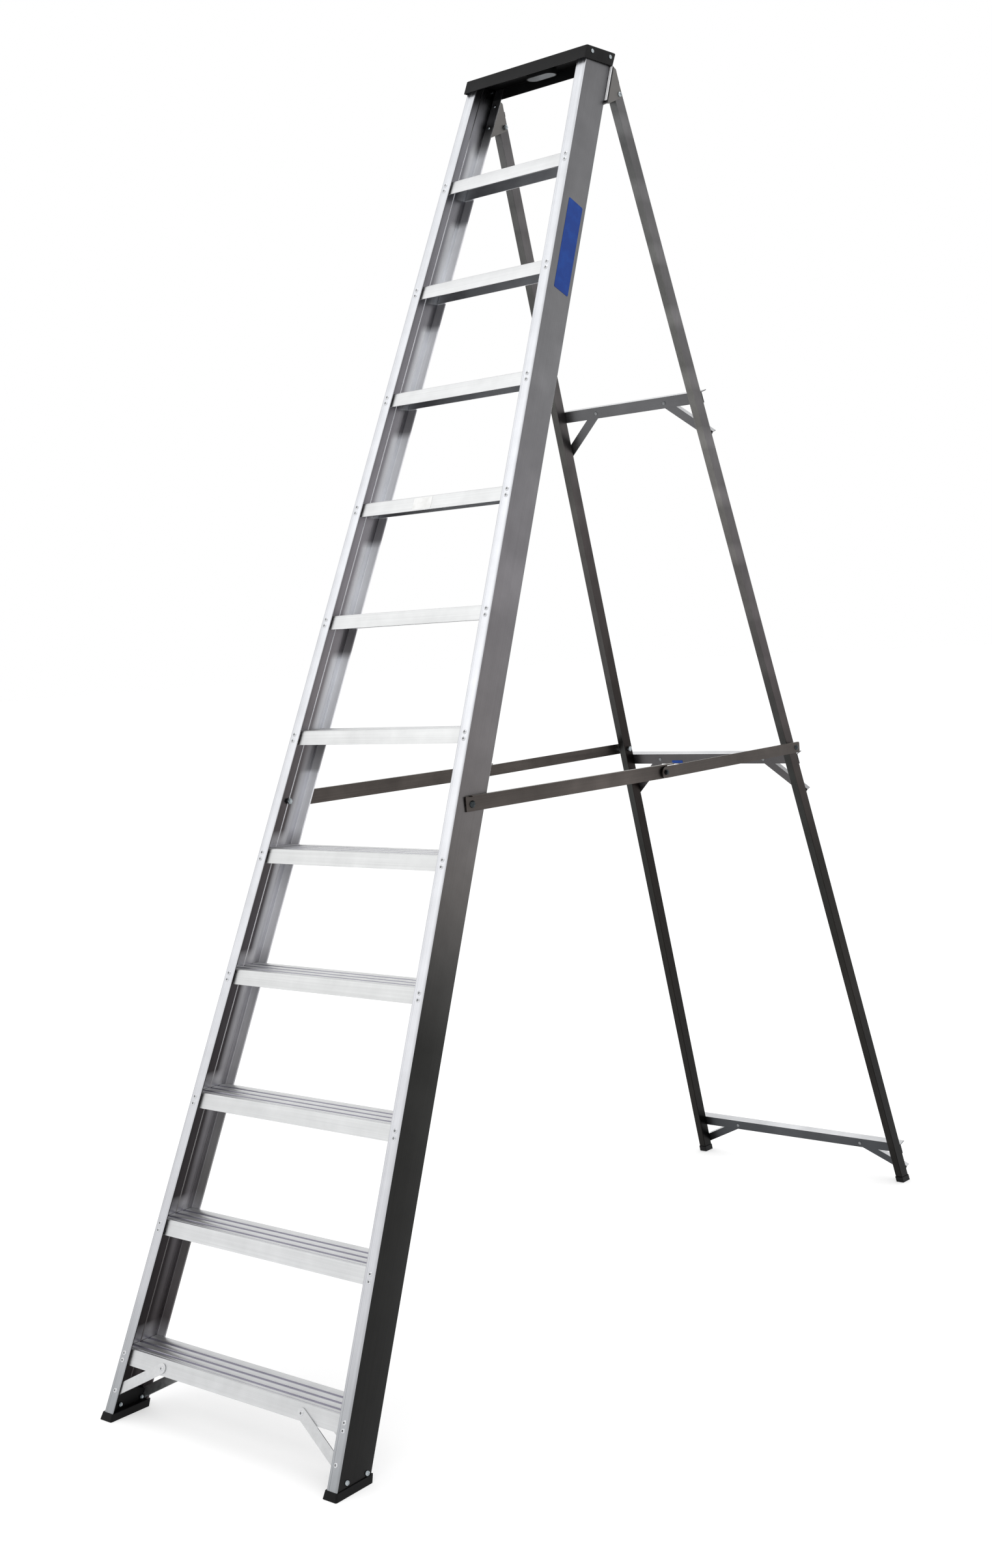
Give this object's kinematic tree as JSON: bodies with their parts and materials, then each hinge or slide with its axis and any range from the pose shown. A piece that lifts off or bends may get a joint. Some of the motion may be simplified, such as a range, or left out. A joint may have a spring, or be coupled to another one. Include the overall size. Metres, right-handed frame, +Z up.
{
  "type": "swing-back stepladder",
  "caption": "Tall aluminium stepladder with channel stiles, grooved treads, a black slotted top cap and a hinged four-legged back frame held open by folding stays.",
  "frame": {"origin": "on the floor, in the middle of the open ladder's bounding box", "axes": "+Z up, +X to the climber's right, -Y towards the climber"},
  "size_m": [0.652, 2.0162, 2.648],
  "materials": {
    "aluminium": "mill finish, bright on the front faces and duller on the webs",
    "dull_aluminium": "dull brownish grey extrusion",
    "black_plastic": "matt black moulding",
    "zinc": "bright zinc plating"
  },
  "bodies": {
    "front_frame": {"bottom_brace_front_left": "aluminium", "bottom_brace_front_right": "aluminium", "bottom_brace_rear_left": "aluminium", "bottom_brace_rear_right": "aluminium", "cap_screw_front_left": "zinc", "cap_screw_front_right": "zinc", "cap_screw_rear_left": "zinc", "cap_screw_rear_right": "zinc", "foot_bolt_front_left": "zinc", "foot_bolt_front_right": "zinc", "foot_bolt_rear_left": "zinc", "foot_bolt_rear_right": "zinc", "foot_front_left": "black_plastic", "foot_front_right": "black_plastic", "hinge_bolt_left": "zinc", "hinge_bolt_right": "zinc", "hinge_bracket_left": "aluminium", "hinge_bracket_right": "aluminium", "hinge_pad_left": "black_plastic", "hinge_pad_right": "black_plastic", "stay_stile_bolt_left": "zinc", "stay_stile_bolt_right": "zinc", "stile_left": "aluminium", "stile_right": "aluminium", "top_cap": "black_plastic", "tread_01": "aluminium", "tread_02": "aluminium", "tread_03": "aluminium", "tread_04": "aluminium", "tread_05": "aluminium", "tread_06": "aluminium", "tread_07": "aluminium", "tread_08": "aluminium", "tread_09": "aluminium", "tread_10": "aluminium", "tread_11": "aluminium"},
    "rear_frame": {"corner_brace_lower_left": "dull_aluminium", "corner_brace_lower_right": "dull_aluminium", "corner_brace_middle_left": "dull_aluminium", "corner_brace_middle_right": "dull_aluminium", "corner_brace_upper_left": "dull_aluminium", "corner_brace_upper_right": "dull_aluminium", "cross_brace_lower": "dull_aluminium", "cross_brace_middle": "dull_aluminium", "cross_brace_upper": "dull_aluminium", "foot_rear_left": "black_plastic", "foot_rear_right": "black_plastic", "rear_leg_left": "dull_aluminium", "rear_leg_plug_left": "black_plastic", "rear_leg_plug_right": "black_plastic", "rear_leg_right": "dull_aluminium", "stay_leg_stud_left": "zinc", "stay_leg_stud_right": "zinc"},
    "stay_front_left": {"stay_front_bar_left": "dull_aluminium", "stay_mid_bolt_left": "zinc"},
    "stay_front_right": {"stay_front_bar_right": "dull_aluminium", "stay_mid_bolt_right": "zinc"},
    "stay_rear_left": {"stay_rear_bar_left": "dull_aluminium"},
    "stay_rear_right": {"stay_rear_bar_right": "dull_aluminium"}
  },
  "joints": [
    {"name": "rear_frame_hinge", "type": "hinge", "parent": "front_frame", "child": "rear_frame", "pos_m": [0, 0.22057, 2.56316], "axis": [-1, 0, 0], "range_deg": [0, 39]},
    {"name": "stay_front_left_pivot", "type": "hinge", "parent": "front_frame", "child": "stay_front_left", "pos_m": [-0.2568, -0.47766, 1.13036], "axis": [1, 0, 0], "range_deg": [0, 68.65]},
    {"name": "stay_rear_left_pivot", "type": "hinge", "parent": "stay_front_left", "child": "stay_rear_left", "pos_m": [-0.2595, 0.13054, 1.13072], "axis": [-1, 0, 0], "range_deg": [0, 169.27]},
    {"name": "stay_front_right_pivot", "type": "hinge", "parent": "front_frame", "child": "stay_front_right", "pos_m": [0.2568, -0.47766, 1.13036], "axis": [1, 0, 0], "range_deg": [0, 68.65]},
    {"name": "stay_rear_right_pivot", "type": "hinge", "parent": "stay_front_right", "child": "stay_rear_right", "pos_m": [0.2595, 0.13054, 1.13072], "axis": [-1, 0, 0], "range_deg": [0, 169.27]}
  ],
  "couplings": [
    {"joint": "stay_front_left_pivot", "follows": "rear_frame_hinge", "ratio": 1.7597},
    {"joint": "stay_rear_left_pivot", "follows": "rear_frame_hinge", "ratio": 4.3396},
    {"joint": "stay_front_right_pivot", "follows": "rear_frame_hinge", "ratio": 1.7597},
    {"joint": "stay_rear_right_pivot", "follows": "rear_frame_hinge", "ratio": 4.3396}
  ]
}
